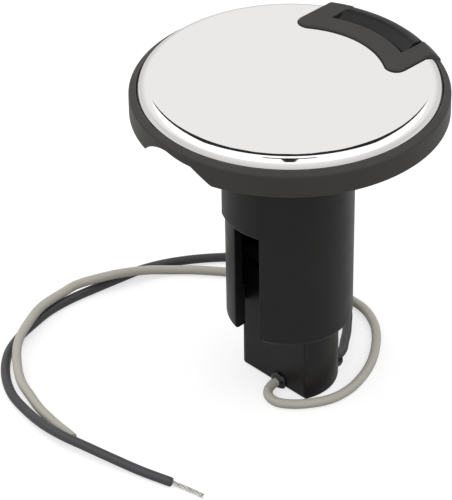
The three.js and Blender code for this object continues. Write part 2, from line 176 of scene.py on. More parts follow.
class Solid:
    """A closed mesh being shaped, in millimetres."""

    def __init__(self, name: str, shape: bmesh.types.BMesh) -> None:
        """Puts the mesh in the scene.

        Args:
            name: the object's name.
            shape: the mesh, which is used up.
        """
        bmesh.ops.recalc_face_normals(shape, faces=shape.faces)
        mesh = bpy.data.meshes.new(name)
        shape.to_mesh(mesh)
        shape.free()
        self.object = bpy.data.objects.new(name, mesh)
        bpy.context.scene.collection.objects.link(self.object)

    @classmethod
    def turned(cls, name: str, profile: list[Point2], sides: int = SIDES) -> "Solid":
        """A closed profile of (radius, height) turned about the Z axis.

        Args:
            name: the object's name.
            profile: the profile's points, in order.
            sides: how many sides the round has.

        Returns:
            The solid.
        """
        shape = bmesh.new()
        angles = [2 * math.pi * (k + 0.5) / sides for k in range(sides)]
        rings = []
        for radius, height in profile:
            if radius < 1e-6:
                rings.append([shape.verts.new((0, 0, height))])
            else:
                rings.append([
                    shape.verts.new((radius * math.cos(a), radius * math.sin(a), height))
                    for a in angles
                ])
        for near, far in zip(rings, rings[1:] + rings[:1]):
            if len(near) == 1 and len(far) == 1:
                continue
            for k in range(sides):
                corners = [near[k % len(near)], near[(k + 1) % sides % len(near)]]
                corners += [far[(k + 1) % sides % len(far)], far[k % len(far)]]
                shape.faces.new(list(dict.fromkeys(corners)))
        return cls(name, shape)

    @classmethod
    def prism(cls, name: str, outline: list[Point2], low: float, high: float) -> "Solid":
        """An outline in plan, raised along Z.

        Args:
            name: the object's name.
            outline: the plan's corners, in order.
            low: the height of its underside.
            high: the height of its top.

        Returns:
            The solid.
        """
        shape = bmesh.new()
        under = [shape.verts.new((x, y, low)) for x, y in outline]
        over = [shape.verts.new((x, y, high)) for x, y in outline]
        shape.faces.new(under)
        shape.faces.new(over)
        count = len(outline)
        for k in range(count):
            n = (k + 1) % count
            shape.faces.new([under[k], under[n], over[n], over[k]])
        return cls(name, shape)

    @classmethod
    def block(cls, name: str, x: Point2, y: Point2, z: Point2) -> "Solid":
        """A square-edged block, for cutting with.

        Args:
            name: the object's name.
            x: its first and last X.
            y: its first and last Y.
            z: its first and last Z.

        Returns:
            The solid.
        """
        plan = [(x[0], y[0]), (x[1], y[0]), (x[1], y[1]), (x[0], y[1])]
        return cls.prism(name, plan, z[0], z[1])

    @classmethod
    def rod(
        cls, name: str, axis: str, centre: Point3, length: float, radius: float,
        sides: int = FINE_SIDES,
    ) -> "Solid":
        """A round rod along one axis.

        Args:
            name: the object's name.
            axis: X or Y.
            centre: its middle.
            length: its length.
            radius: its radius.
            sides: how many sides it has.

        Returns:
            The solid.
        """
        half = length / 2
        rod = cls.turned(name, [(0, -half), (radius, -half), (radius, half), (0, half)], sides)
        turn = {"X": Matrix.Rotation(math.pi / 2, 4, "Y"), "Y": Matrix.Rotation(-math.pi / 2, 4, "X")}
        rod.object.data.transform(Matrix.Translation(centre) @ turn[axis])
        return rod

    def moved(self, x: float, y: float) -> "Solid":
        """The same solid, moved in plan."""
        self.object.data.transform(Matrix.Translation((x, y, 0)))
        return self

    def with_(self, action: Action, *tools: "Solid") -> "Solid":
        """Adds, removes or keeps what the tools cover, and uses the tools up.

        Args:
            action: what the tools do.
            *tools: the other solids.

        Returns:
            This solid.
        """
        for tool in tools:
            change = self.object.modifiers.new("change", "BOOLEAN")
            change.operation = action.value
            change.solver = "MANIFOLD"
            change.object = tool.object
            self.settle()
            bpy.data.objects.remove(tool.object)
        return self

    def settle(self) -> None:
        """Makes the modifiers' result the mesh."""
        view = bpy.context.evaluated_depsgraph_get()
        settled = bpy.data.meshes.new_from_object(self.object.evaluated_get(view))
        self.object.modifiers.clear()
        worn_out, self.object.data = self.object.data, settled
        bpy.data.meshes.remove(worn_out)

    def cleaned(self) -> "Solid":
        """The same solid without slivers and with each flat in as few faces as it takes."""
        shape = bmesh.new()
        shape.from_mesh(self.object.data)
        bmesh.ops.remove_doubles(shape, verts=shape.verts, dist=0.004)
        bmesh.ops.dissolve_degenerate(shape, dist=0.004, edges=shape.edges)
        bmesh.ops.dissolve_limit(
            shape, angle_limit=math.radians(0.2), verts=shape.verts, edges=shape.edges,
        )
        shape.to_mesh(self.object.data)
        shape.free()
        return self

    def softened(self, width: float, steps: int = 3, angle: float = 32.0) -> "Solid":
        """The same solid with its sharp edges rounded, as they leave a mould.

        Args:
            width: how far each rounding reaches from its edge.
            steps: how many faces it has across.
            angle: edges that turn by less than this, in degrees, stay as they are.

        Returns:
            This solid.
        """
        self.cleaned()
        edges = self.object.modifiers.new("edges", "BEVEL")
        edges.width = width
        edges.segments = steps
        edges.limit_method = "ANGLE"
        edges.angle_limit = math.radians(angle)
        edges.use_clamp_overlap = False
        edges.miter_outer = "MITER_ARC"
        self.settle()
        return self

    def piece(self, sharp: float = 38.0) -> bpy.types.Object:
        """The finished piece, smooth except over sharp edges, in metres.

        Args:
            sharp: edges that turn by more than this, in degrees, stay sharp.

        Returns:
            The object.
        """
        mesh = self.object.data
        mesh.transform(Matrix.Scale(MM, 4))
        mesh.shade_smooth()
        mesh.set_sharp_from_angle(angle=math.radians(sharp))
        normals = self.object.modifiers.new("flats", "WEIGHTED_NORMAL")
        normals.keep_sharp = True
        normals.mode = "FACE_AREA"
        normals.weight = 60
        self.settle()
        return self.object


def placed(
    piece: bpy.types.Object, body: Body, node: str, slot: str, material: bpy.types.Material,
) -> bpy.types.Object:
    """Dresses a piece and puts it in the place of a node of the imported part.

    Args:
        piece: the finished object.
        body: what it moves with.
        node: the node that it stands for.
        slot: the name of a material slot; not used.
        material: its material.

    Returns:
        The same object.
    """
    piece.data.materials.clear()
    piece.data.materials.append(material)
    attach(piece, body.value)
    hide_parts(node)
    log.info("%s stands for %s on %s", piece.name, node, body.value)
    return piece


# ---------------------------------------------------------------- shared effects


class Effect:
    """A node group under construction, with a short way to add and join nodes."""

    def __init__(self, name: str, inputs: dict[str, float], outputs: list[str]) -> None:
        """Starts an empty group.

        Args:
            name: the group's name.
            inputs: each input's name and its usual value.
            outputs: each output's name; all are plain values.
        """
        self.tree = bpy.data.node_groups.new(name, "ShaderNodeTree")
        for label, usual in inputs.items():
            socket = self.tree.interface.new_socket(label, in_out="INPUT", socket_type="NodeSocketFloat")
            socket.default_value = usual
        for label in outputs:
            self.tree.interface.new_socket(label, in_out="OUTPUT", socket_type="NodeSocketFloat")
        self.given = self.tree.nodes.new("NodeGroupInput").outputs
        self.result = self.tree.nodes.new("NodeGroupOutput").inputs

    def node(self, kind: str, values: dict | None = None, **settings: object) -> bpy.types.Node:
        """Adds a node.

        Args:
            kind: the node's type.
            values: for each input's name or number, a socket to join or a value to set.
            **settings: the node's own settings.

        Returns:
            The node.
        """
        return add_node(self.tree, kind, values, **settings)

    def maths(self, operation: str, *values: object, clamp: bool = False) -> bpy.types.NodeSocket:
        """Adds a Math node and returns its result."""
        numbered = dict(enumerate(values))
        return self.node("ShaderNodeMath", numbered, operation=operation, use_clamp=clamp).outputs[0]

    def place(self) -> bpy.types.NodeSocket:
        """The point's place on the piece."""
        return self.node("ShaderNodeTexCoord").outputs["Object"]

    def scale(self, label: str) -> bpy.types.NodeSocket:
        """The texture scale for an input that gives a size in millimetres."""
        return self.maths("DIVIDE", 1 / MM, self.given[label])

    def noise(
        self, place: object, scale: object, detail: float, roughness: float = 0.5, **more: float,
    ) -> bpy.types.NodeSocket:
        """Adds a noise texture.

        Args:
            place: where it is looked up.
            scale: its scale, as a socket or a value.
            detail: how many layers it has.
            roughness: how strongly the finer layers show.
            **more: other inputs, by name.

        Returns:
            Its value, from 0 to 1.
        """
        values = {"Vector": place, "Scale": scale, "Detail": detail, "Roughness": roughness, **more}
        return self.node("ShaderNodeTexNoise", values).outputs["Fac"]

    def between(self, value: bpy.types.NodeSocket, low: float, high: float) -> bpy.types.NodeSocket:
        """Spreads the stretch from low to high over 0 to 1."""
        values = {"Value": value, "From Min": low, "From Max": high}
        return self.node("ShaderNodeMapRange", values).outputs["Result"]

    def give(self, label: str, socket: bpy.types.NodeSocket) -> None:
        """Joins a socket to one of the group's outputs."""
        self.tree.links.new(socket, self.result[label])


def add_node(
    tree: bpy.types.NodeTree, kind: str, values: dict | None = None, **settings: object,
) -> bpy.types.Node:
    """Adds a node to a tree, sets it and joins it.

    Args:
        tree: the node tree.
        kind: the node's type.
        values: for each input's name or number, a socket to join or a value to set.
        **settings: the node's own settings.

    Returns:
        The node.
    """
    node = tree.nodes.new(kind)
    for label, value in settings.items():
        setattr(node, label, value)
    for label, value in (values or {}).items():
        if isinstance(value, bpy.types.NodeSocket):
            tree.links.new(value, node.inputs[label])
        else:
            node.inputs[label].default_value = value
    return node


def grain_effect() -> bpy.types.NodeTree:
    """Moulded grain: a fine stipple over a slow swell, for plastic and rubber.

    Returns:
        A group that gives Height, and Tone, which wanders slowly round one half.
    """
    effect = Effect("moulded_grain", {"Size": 0.35, "Swell": 0.3}, ["Height", "Tone"])
    place = effect.place()
    stipple = effect.noise(place, effect.scale("Size"), 2.0, 0.55)
    swell = effect.noise(place, 70.0, 3.0)
    slow = effect.maths("MULTIPLY", swell, effect.given["Swell"])
    effect.give("Height", effect.maths("ADD", stipple, slow))
    effect.give("Tone", swell)
    return effect.tree


def edge_wear_and_highlight_effect() -> bpy.types.NodeTree:
    """Edge wear and painted highlight: where a surface turns sharply, broken up by noise.

    Returns:
        A group that gives Mask, 0 on untouched surface and 1 on a sharp edge, which is lightened partly as
        wear and partly as a painted highlight.
    """
    effect = Effect("edge_wear_and_painted_highlight", {"Radius": 0.5, "Amount": 0.5, "Patch": 4.0}, ["Mask"])
    radius = effect.maths("MULTIPLY", effect.given["Radius"], MM)
    round_normal = effect.node("ShaderNodeBevel", {"Radius": radius}, samples=6).outputs["Normal"]
    normal = effect.node("ShaderNodeNewGeometry").outputs["Normal"]
    same = effect.node("ShaderNodeVectorMath", {0: round_normal, 1: normal}, operation="DOT_PRODUCT")
    turned = effect.maths("SUBTRACT", 1.0, same.outputs["Value"])
    edge = effect.maths("MULTIPLY", turned, 7.0, clamp=True)
    patch = effect.noise(effect.place(), effect.scale("Patch"), 5.0, 0.65)
    worn_and_highlight = effect.maths("MULTIPLY", edge, effect.between(patch, 0.42, 0.62))
    effect.give("Mask", effect.maths("MULTIPLY", worn_and_highlight, effect.given["Amount"], clamp=True))
    return effect.tree


def handling_effect() -> bpy.types.NodeTree:
    """Handling: soft smears and specks of dust.

    Returns:
        A group that gives Smear and Dust, both from 0 to 1.
    """
    effect = Effect("handling", {"Smear Size": 9.0, "Dust": 0.3}, ["Smear", "Dust"])
    place = effect.place()
    smear = effect.noise(place, effect.scale("Smear Size"), 4.0, 0.6, Distortion=0.8)
    effect.give("Smear", effect.between(smear, 0.4, 0.75))
    speck = effect.node("ShaderNodeTexVoronoi", {"Vector": place, "Scale": 900.0}).outputs["Distance"]
    fine = effect.between(speck, 0.12, 0.04)
    effect.give("Dust", effect.maths("MULTIPLY", fine, effect.given["Dust"], clamp=True))
    return effect.tree


def polish_effect() -> bpy.types.NodeTree:
    """Polishing: hair-thin lines left by the wheel, in two directions.

    Returns:
        A group that gives Height.
    """
    effect = Effect("polish_lines", {"Stretch": 60.0}, ["Height"])
    place = effect.place()
    found = []
    for turn in (0.35, 1.2):
        spun = effect.node("ShaderNodeVectorRotate", {"Vector": place, "Angle": turn}).outputs["Vector"]
        lengths = {"X": effect.given["Stretch"], "Y": 2600.0, "Z": 400.0}
        squeeze = effect.node("ShaderNodeCombineXYZ", lengths)
        thin = effect.node(
            "ShaderNodeVectorMath", {0: spun, 1: squeeze.outputs["Vector"]}, operation="MULTIPLY",
        ).outputs["Vector"]
        found.append(effect.noise(thin, 1.0, 2.0))
    effect.give("Height", effect.maths("MAXIMUM", *found))
    return effect.tree


class Effects:
    """The shared effects, each built once."""

    def __init__(self) -> None:
        """Builds every group."""
        self.grain = grain_effect()
        # lightening of sharp edges: partly wear, partly a painted highlight
        self.wear_and_highlight = edge_wear_and_highlight_effect()
        self.handling = handling_effect()
        self.polish = polish_effect()


# ---------------------------------------------------------------- finishes


class Paintbox:
    """A material under construction: its tree, its Principled shader and its output."""

    def __init__(self, name: str, base: Colour, roughness: float, metallic: float = 0.0) -> None:
        """Starts a material.

        Args:
            name: the material's name.
            base: its base colour, linear.
            roughness: its roughness.
            metallic: 1 for bare metal.
        """
        self.material = bpy.data.materials.new(name)
        self.material.use_nodes = True
        self.tree = self.material.node_tree
        self.tree.nodes.clear()
        output = self.tree.nodes.new("ShaderNodeOutputMaterial")
        self.shader = self.tree.nodes.new("ShaderNodeBsdfPrincipled")
        self.tree.links.new(self.shader.outputs["BSDF"], output.inputs["Surface"])
        self.set("Base Color", (*base, 1.0))
        self.set("Roughness", roughness)
        self.set("Metallic", metallic)

    def set(self, label: str, value: object) -> None:
        """Sets one of the shader's own sockets."""
        self.shader.inputs[label].default_value = value

    def feed(self, label: str, socket: bpy.types.NodeSocket) -> None:
        """Joins a socket to one of the shader's inputs."""
        self.tree.links.new(socket, self.shader.inputs[label])

    def effect(self, group: bpy.types.NodeTree, **values: float) -> bpy.types.NodeOutputs:
        """Places a shared effect.

        Args:
            group: the effect.
            **values: its inputs; an underscore in a name stands for a space.

        Returns:
            Its outputs.
        """
        node = self.tree.nodes.new("ShaderNodeGroup")
        node.node_tree = group
        for label, value in values.items():
            node.inputs[label.replace("_", " ")].default_value = value
        return node.outputs

    def mix(self, mask: object, first: object, second: object) -> bpy.types.NodeSocket:
        """Mixes two colours by a mask.

        Args:
            mask: how much of the second shows, as a socket or a value.
            first: the first colour, as a socket or a colour.
            second: the second colour.

        Returns:
            The mixed colour.
        """
        node = self.tree.nodes.new("ShaderNodeMix")
        node.data_type = "RGBA"
        for socket, value in zip((node.inputs[0], node.inputs[6], node.inputs[7]), (mask, first, second)):
            if isinstance(value, bpy.types.NodeSocket):
                self.tree.links.new(value, socket)
            elif isinstance(value, tuple):
                socket.default_value = (*value[:3], 1.0)
            else:
                socket.default_value = value
        return node.outputs[2]

    def spread(self, socket: bpy.types.NodeSocket, low: float, high: float) -> bpy.types.NodeSocket:
        """Spreads a value from 0 to 1 over low to high."""
        values = {"Value": socket, "To Min": low, "To Max": high}
        return add_node(self.tree, "ShaderNodeMapRange", values).outputs["Result"]

    def bump(self, height: bpy.types.NodeSocket, strength: float, depth: float) -> None:
        """Feeds the normal from a height.

        Args:
            height: the height, from 0 to 1.
            strength: how strongly it shows.
            depth: its depth in millimetres.
        """
        values = {"Height": height, "Strength": strength, "Distance": depth * MM}
        self.feed("Normal", add_node(self.tree, "ShaderNodeBump", values).outputs["Normal"])


@dataclass(frozen=True)
class MouldedPlastic:
    """Satin moulded plastic, with a fine grain, sharp edges lightened partly as wear and partly as a painted
    highlight, and a little dust.
    """

    name: str
    colour: Colour
    # the lighter colour of sharp edges: partly real wear, partly a painted highlight along them
    worn_and_highlight: Colour
    roughness: float
    grain: float
    depth: float
    gloss: float
    wear_and_highlight: float

    def material(self, effects: Effects) -> bpy.types.Material:
        """Builds the material from the shared effects."""
        box = Paintbox(self.name, self.colour, self.roughness)
        grain = box.effect(effects.grain, Size=self.grain, Swell=0.3)
        wear_and_highlight = box.effect(effects.wear_and_highlight, Radius=0.55, Amount=self.wear_and_highlight, Patch=5.0)
        handling = box.effect(effects.handling, Smear_Size=11.0, Dust=0.22)
        deep = tuple(c * 0.8 for c in self.colour)
        light = tuple(c * 1.22 for c in self.colour)
        body = box.mix(grain["Tone"], deep, light)
        dusty = box.mix(handling["Dust"], body, tuple(c * 2.2 + 0.02 for c in self.colour))
        # sharp edges take the lighter colour: partly wear, partly a painted highlight
        box.feed("Base Color", box.mix(wear_and_highlight["Mask"], dusty, self.worn_and_highlight))
        rough = box.spread(handling["Smear"], self.roughness, self.roughness + 0.09)
        box.feed("Roughness", rough)
        box.set("Specular IOR Level", self.gloss)
        box.bump(grain["Height"], 0.5, self.depth)
        return box.material


@dataclass(frozen=True)
class PolishedSteel:
    """Bright polished stainless steel, with hair-thin polishing lines and faint smears."""

    name: str
    colour: Colour
    roughness: float
    lines: float

    def material(self, effects: Effects) -> bpy.types.Material:
        """Builds the material from the shared effects."""
        box = Paintbox(self.name, self.colour, self.roughness, metallic=1.0)
        polish = box.effect(effects.polish, Stretch=60.0)
        handling = box.effect(effects.handling, Smear_Size=16.0, Dust=0.1)
        dull = tuple(c * 0.93 for c in self.colour)
        box.feed("Base Color", box.mix(handling["Dust"], self.colour, dull))
        box.feed("Roughness", box.spread(handling["Smear"], self.roughness, self.roughness * 1.5))
        box.bump(polish["Height"], self.lines, 0.0006)
        return box.material


@dataclass(frozen=True)
class DrawnMetal:
    """Turned or tinned metal, with fine lines and a little tarnish."""

    name: str
    colour: Colour
    tarnish: Colour
    roughness: float

    def material(self, effects: Effects) -> bpy.types.Material:
        """Builds the material from the shared effects."""
        box = Paintbox(self.name, self.colour, self.roughness, metallic=1.0)
        handling = box.effect(effects.handling, Smear_Size=1.6, Dust=0.0)
        grain = box.effect(effects.grain, Size=0.12, Swell=0.1)
        box.feed("Base Color", box.mix(handling["Smear"], self.colour, self.tarnish))
        box.feed("Roughness", box.spread(handling["Smear"], self.roughness, self.roughness + 0.15))
        box.bump(grain["Height"], 0.3, 0.01)
        return box.material


@dataclass(frozen=True)
class SoftSkin:
    """Rubber, foam or wire insulation: one colour that wanders a little, with a soft skin."""

    name: str
    colour: Colour
    roughness: float
    grain: float
    depth: float
    gloss: float
    wander: float

    def material(self, effects: Effects) -> bpy.types.Material:
        """Builds the material from the shared effects."""
        box = Paintbox(self.name, self.colour, self.roughness)
        grain = box.effect(effects.grain, Size=self.grain, Swell=0.4)
        handling = box.effect(effects.handling, Smear_Size=6.0, Dust=0.3)
        deep = tuple(c * (1 - self.wander) for c in self.colour)
        light = tuple(c * (1 + self.wander) for c in self.colour)
        body = box.mix(grain["Tone"], deep, light)
        box.feed("Base Color", box.mix(handling["Dust"], body, tuple(c * 0.7 + 0.03 for c in self.colour)))
        box.feed("Roughness", box.spread(handling["Smear"], self.roughness, self.roughness + 0.12))
        box.set("Specular IOR Level", self.gloss)
        box.bump(grain["Height"], 0.5, self.depth)
        return box.material


@dataclass(frozen=True)
class Finishes:
    """Every finish of the part, by what it covers."""

    lid: bpy.types.Material
    base: bpy.types.Material
    face: bpy.types.Material
    steel: bpy.types.Material
    brass: bpy.types.Material
    tin: bpy.types.Material
    rubber: bpy.types.Material
    foam: bpy.types.Material
    sealant: bpy.types.Material
    grey: bpy.types.Material
    black: bpy.types.Material

    @classmethod
    def mixed(cls) -> "Finishes":
        """Mixes every material."""
        finishes = {
            # each plastic's second colour lightens its sharp edges, partly as wear and partly as a painted
            # highlight
            "lid": MouldedPlastic(
                "lid_plastic", (0.036, 0.0345, 0.0325), (0.16, 0.155, 0.145),
                roughness=0.46, grain=0.3, depth=0.012, gloss=0.32, wear_and_highlight=0.55),
            "base": MouldedPlastic(
                "base_plastic", (0.0125, 0.0115, 0.0112), (0.05, 0.049, 0.048),
                roughness=0.36, grain=0.45, depth=0.006, gloss=0.24, wear_and_highlight=0.3),
            "face": PolishedSteel("polished_steel", (0.9, 0.895, 0.892), roughness=0.045, lines=0.35),
            "steel": PolishedSteel("fastener_steel", (0.78, 0.78, 0.77), roughness=0.16, lines=0.6),
            "brass": DrawnMetal("contact_brass", (0.72, 0.52, 0.22), (0.5, 0.33, 0.13), roughness=0.24),
            "tin": DrawnMetal("tinned_copper", (0.86, 0.85, 0.82), (0.62, 0.6, 0.56), roughness=0.2),
            "rubber": SoftSkin(
                "seal_rubber", (0.014, 0.014, 0.014),
                roughness=0.62, grain=0.25, depth=0.012, gloss=0.35, wander=0.2),
            "foam": SoftSkin(
                "gasket_foam", (0.02, 0.02, 0.02),
                roughness=0.85, grain=0.5, depth=0.05, gloss=0.2, wander=0.3),
            "sealant": SoftSkin(
                "sealant", (0.009, 0.009, 0.009),
                roughness=0.16, grain=1.2, depth=0.05, gloss=0.5, wander=0.1),
            "grey": SoftSkin(
                "grey_insulation", (0.47, 0.458, 0.4),
                roughness=0.42, grain=0.5, depth=0.012, gloss=0.4, wander=0.07),
            "black": SoftSkin(
                "black_insulation", (0.05, 0.051, 0.055),
                roughness=0.38, grain=0.5, depth=0.012, gloss=0.5, wander=0.15),
        }
        effects = Effects()
        return cls(**{part: finish.material(effects) for part, finish in finishes.items()})


# ---------------------------------------------------------------- hinge sizes, shared by lid and base


@dataclass(frozen=True)
class HingeSizes:
    """The hinge's sizes, in millimetres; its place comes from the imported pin."""

    pin: Extent
    gap: float = 0.3
    slot_half: float = 12.7
    swing: float = 6.4
    room: float = 7.6

    @property
    def y(self) -> float:
        """The pin's axis along Y."""
        return self.pin.middle.y

    @property
    def z(self) -> float:
        """The pin's axis along Z."""
        return self.pin.middle.z

    @property
    def pin_radius(self) -> float:
        """The pin's radius."""
        return (self.pin.high.z - self.pin.low.z) / 2

    def rod(self, length: float, radius: float, x: float = 0.0, sides: int = FINE_SIDES) -> Solid:
        """A rod on the pin's axis, for cutting with."""
        return Solid.rod("rod", "X", (x, self.y, self.z), length, radius, sides)


def behind(half_width: float) -> Solid:
    """A block over the hinge side of the part, that wide each way."""
    return Solid.block("behind", (-half_width, half_width), (0, 60), (-5, 20))


def ring(inner: float, outer: float, low: float, high: float) -> Solid:
    """A square-edged ring, for cutting with."""
    return Solid.turned("ring", [(inner, low), (outer, low), (outer, high), (inner, high)])


def disc(radius: float, low: float, high: float, sides: int = SIDES) -> Solid:
    """A square-edged disc, for cutting with."""
    return Solid.turned("disc", [(0, low), (radius, low), (radius, high), (0, high)], sides)


# ---------------------------------------------------------------- lid


@dataclass
class Lid:
    """The hinged lid: its plastic shell, the steel face on it and the seal under it."""

    finishes: Finishes
    hinge: HingeSizes
    shell: Extent = field(default_factory=lambda: Extent.of("lid_shell"))
    face: Extent = field(default_factory=lambda: Extent.of("lid_face_plate"))
    seal: Extent = field(default_factory=lambda: Extent.of("lid_seal"))
    skirt_inner: float = 38.4
    lip_top: float = 6.6
    lip_inner: float = 39.5
    lip_inner_top: float = 7.3
    lip_round: float = 0.9
    web_top: float = 8.5
    web_bottom: float = 4.2
    recess_radius: float = 33.0
    recess_top: float = 6.0
    yoke_half: float = 18.6
    yoke_inner: float = 25.0
    yoke_corner: float = 2.9
    yoke_rear: float = 38.6
    yoke_floor: float = 7.0
    web_edge: float = 36.0
    step_radius: float = 38.0
    step_top: float = 5.6
    slot_inner: float = 30.9
    face_spread: float = 0.2
    flat_radius: float = 36.1
    roll_radius: float = 3.3
    roll_turn: float = 52.0
    sheet: float = 0.9
    roll_steps: int = 18

    def yoke_plan(self, grow: float = 0.0) -> list[Point2]:
        """The hinge yoke in plan.

        Args:
            grow: how much larger than the yoke the outline is, all round.

        Returns:
            The outline's points.
        """
        half = self.yoke_half + grow
        cx = self.yoke_half - self.yoke_corner
        cy = math.sqrt((self.yoke_inner + self.yoke_corner) ** 2 - cx ** 2)
        lean = math.degrees(math.atan2(cy, cx))
        corner = self.yoke_corner + grow
        return [
            (half, FAR),
            *arc((cx, cy), corner, 0, lean - 180, 16),
            *arc((0, 0), self.yoke_inner - grow, lean, 180 - lean, 40)[1:-1],
            *arc((-cx, cy), corner, -lean, -180, 16),
            (-half, FAR),
        ]

    def notch(self) -> Solid:
        """The arched finger notch, as a tool that cuts the skirt from outside."""
        foot = self.shell.low.z
        arch = [(-12.3, foot - 1), (-12.3, foot)]
        arch += bezier((-12.3, foot), (-9.0, 3.4), (-5.2, 4.9), (-2.0, 4.7), 10)[1:]
        arch += bezier((-2.0, 4.7), (0.0, 4.4), (1.0, 4.05), (6.0, 3.85), 8)[1:]
        arch += [(11.9, foot), (11.9, foot - 1)]
        tool = Solid.prism("notch", arch, 34, 46)
        tool.object.data.transform(Matrix.Rotation(math.pi / 2, 4, "X"))
        return tool

    def build_shell(self) -> Solid:
        """The plastic shell: skirt, lip, web and raised yoke, with the hinge's slot cut in it."""
        rim, foot = self.shell.radius, self.shell.low.z
        cap = Solid.turned("lid_ring", eased([
            (0, self.recess_top), (self.recess_radius, self.recess_top),
            (self.recess_radius, self.web_bottom), (self.skirt_inner, self.web_bottom),
            (self.skirt_inner, foot), (rim, foot), (rim, self.lip_top - 0.2, self.lip_round),
            (self.lip_inner, self.lip_inner_top, 0.15), (self.lip_inner, self.step_top),
            (self.step_radius, self.step_top), (37.6, 6.9), (36.9, 8.0), (self.web_edge, self.web_top),
            (0, self.web_top),
        ], 7))
        top, foot_radius = self.shell.high.z, rim - 0.03
        yoke = Solid.turned("yoke", [
            (self.yoke_inner, self.yoke_floor), (self.web_edge, self.yoke_floor),
            (self.step_radius, self.step_top - 1.0), (foot_radius, self.step_top - 1.0),
            (foot_radius, self.lip_top + 0.35), (self.yoke_rear, top), (self.yoke_inner, top),
        ])
        plan = Solid.prism("plan", self.yoke_plan(), 0, 20)
        yoke.with_(Action.KEEP, plan).softened(0.5, 4)
        slot = ring(self.slot_inner, 60, -5, 20).with_(Action.KEEP, behind(self.hinge.slot_half))
        rear = Solid.block("rear", (-30, 30), (self.hinge.y, FAR), (-5, self.hinge.z))
        rear.with_(Action.REMOVE, self.hinge.rod(62, self.hinge.swing, sides=96))
        bore = self.hinge.pin_radius + self.hinge.gap
        hole = self.hinge.rod(2 * self.hinge.pin.radius + 4.6, bore, -2.0)
        cap.with_(Action.ADD, yoke).with_(Action.REMOVE, slot, rear, hole, self.notch())
        return cap.softened(0.32, 3)

    def build_face(self) -> Solid:
        """The steel face: a flat disc, its edge rolled down, cut out round the yoke."""
        outer, top, foot = self.face.radius + self.face_spread, self.face.high.z, self.face.low.z
        turn = [self.roll_turn * k / self.roll_steps for k in range(self.roll_steps + 1)]

        def roll(inset: float) -> list[Point2]:
            """The rolled edge's profile, that far inside the sheet's outer face."""
            radius = self.roll_radius - inset
            return [
                (self.flat_radius + radius * math.sin(math.radians(a)),
                 top - self.roll_radius + radius * math.cos(math.radians(a)))
                for a in turn
            ]

        profile = [(0, top), (30.0, top), *roll(0.0), (outer, self.lip_inner_top - 0.15), (outer, foot + 0.2)]
        inner = outer - self.sheet
        profile += [(outer - 0.2, foot), (inner, foot), (inner, self.lip_inner_top - 0.7)]
        profile += [*reversed(roll(self.sheet)), (0, top - self.sheet)]
        plate = Solid.turned("lid_face", profile, 360)
        window = Solid.prism("window", self.yoke_plan(self.hinge.gap), 0, 20)
        return plate.with_(Action.REMOVE, window).softened(0.12, 2, 50)

    def build_seal(self) -> Solid:
        """The rubber seal, with the plug that closes the mouth."""
        low, high, outer = self.seal.low.z, self.seal.high.z, self.seal.radius
        pad = low + 1.9
        return Solid.turned("lid_rubber", eased([
            (0, low), (12.9, low, 0.5), (13.5, low + 0.6, 0.3), (13.5, pad, 0.25),
            (outer - 2.2, pad), (outer - 1.8, pad + 0.25), (outer - 1.4, pad), (outer, pad, 0.3),
            (outer, high, 0.2), (0, high),
        ]), 160)

    def dress(self) -> None:
        """Puts the lid's pieces in place."""
        placed(self.build_shell().piece(), Body.LID, "lid_shell", "lid_plastic", self.finishes.lid)
        placed(self.build_face().piece(), Body.LID, "lid_face_plate", "polished_steel", self.finishes.face)
        placed(self.build_seal().piece(), Body.LID, "lid_seal", "seal_rubber", self.finishes.rubber)


def bezier(a: Point2, b: Point2, c: Point2, d: Point2, steps: int) -> list[Point2]:
    """Points along a cubic Bezier curve.

    Args:
        a: its start.
        b: its first handle.
        c: its second handle.
        d: its end.
        steps: how many stretches it is cut into.

    Returns:
        The points, both ends among them.
    """
    points = []
    for k in range(steps + 1):
        t = k / steps
        weights = ((1 - t) ** 3, 3 * t * (1 - t) ** 2, 3 * t * t * (1 - t), t ** 3)
        points.append(tuple(sum(w * p[i] for w, p in zip(weights, (a, b, c, d))) for i in (0, 1)))
    return points


# ---------------------------------------------------------------- base


def on_circle(radius: float, degrees: float) -> Point2:
    """A point on a circle about the barrel's axis; degrees count from -Y towards +X."""
    angle = math.radians(degrees - 90)
    return radius * math.cos(angle), radius * math.sin(angle)


